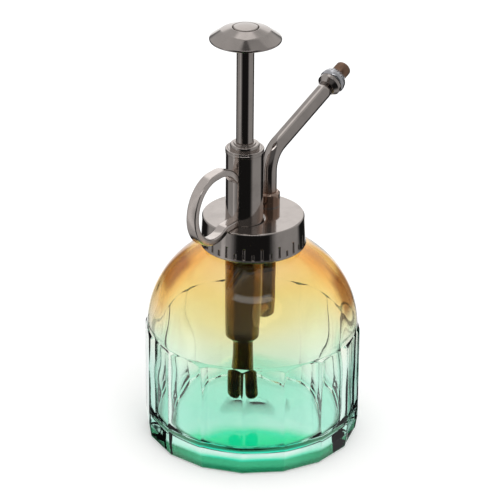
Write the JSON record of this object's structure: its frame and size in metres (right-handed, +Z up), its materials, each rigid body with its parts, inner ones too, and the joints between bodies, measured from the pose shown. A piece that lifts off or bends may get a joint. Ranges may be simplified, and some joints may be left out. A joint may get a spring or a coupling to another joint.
{
  "type": "plant mister",
  "caption": "Plant mister: faceted tinted glass bottle with a domed shoulder, screw-on plated hand pump, thumb plunger, finger ring and an upturned spray spout.",
  "frame": {"origin": "centre of the bottle's base, on the surface that it stands on", "axes": "+Z up the bottle, +X the way the spout sprays, finger ring on the -X side"},
  "size_m": [0.1056, 0.0836, 0.1715],
  "materials": {
    "glass": "clear, tinted amber at the shoulder fading to green at the foot",
    "gunmetal": "dark nickel plating, mirror polished",
    "pump_body": "dark nickel plating, polished",
    "nozzle_metal": "bright nickel plating",
    "tip_bronze": "brown bronze, satin",
    "bush_brass": "turned",
    "steel": "bright",
    "rubber": "matt"
  },
  "bodies": {
    "bottle": {"glass_bottle": "glass"},
    "seal": {"neck_gasket": "rubber"},
    "pump_head": {"screw_cap": "gunmetal", "head_gasket": "rubber", "pump_barrel": "gunmetal", "gland_nut": "gunmetal", "rod_bush": "bush_brass", "rod_seal": "rubber", "finger_ring": "gunmetal", "spout_boss": "gunmetal", "spout_tube": "gunmetal", "spout_collar": "gunmetal", "pump_cylinder": "pump_body", "outlet_duct": "pump_body", "inlet_tube": "pump_body", "inlet_seat": "bush_brass", "inlet_cage": "bush_brass", "outlet_seat": "bush_brass", "outlet_stop": "bush_brass", "return_spring": "steel"},
    "spring_follower": {"spring_washer": "steel"},
    "plunger": {"plunger_rod": "gunmetal", "rod_collar": "gunmetal", "thumb_knob": "gunmetal", "knob_disc": "gunmetal", "piston": "bush_brass", "piston_seal": "rubber"},
    "nozzle": {"nozzle_ring": "nozzle_metal", "nozzle_tip": "tip_bronze", "swirl_core": "bush_brass"},
    "inlet_valve": {"inlet_ball": "steel"},
    "outlet_valve": {"outlet_ball": "steel"}
  },
  "joints": [
    {"name": "top_lift", "type": "slide", "parent": "bottle", "child": "seal", "axis": [0, 0, 1], "range_m": [0, 0.085]},
    {"name": "cap_turn", "type": "hinge", "parent": "seal", "child": "pump_head", "pos_m": [0, 0, 0.09204], "axis": [0, 0, 1], "range_deg": [0, 450]},
    {"name": "plunger_stroke", "type": "slide", "parent": "pump_head", "child": "spring_follower", "axis": [0, 0, 1], "range_m": [-0.0375, 0], "stiffness_N_per_m": 200, "springref_m": 0.01, "deforming": ["return_spring"]},
    {"name": "plunger_turn", "type": "hinge", "parent": "spring_follower", "child": "plunger", "pos_m": [-0.0062, 0, 0.09204], "axis": [0, 0, 1], "continuous": true},
    {"name": "nozzle_turn", "type": "hinge", "parent": "pump_head", "child": "nozzle", "pos_m": [0.05344, 0, 0.12831], "axis": [0.9438, 0, 0.3305], "range_deg": [0, 360]},
    {"name": "inlet_ball_lift", "type": "slide", "parent": "pump_head", "child": "inlet_valve", "axis": [0, 0, 1], "range_m": [0, 0.0012]},
    {"name": "outlet_ball_lift", "type": "slide", "parent": "pump_head", "child": "outlet_valve", "axis": [0, 0, 1], "range_m": [0, 0.001]}
  ]
}
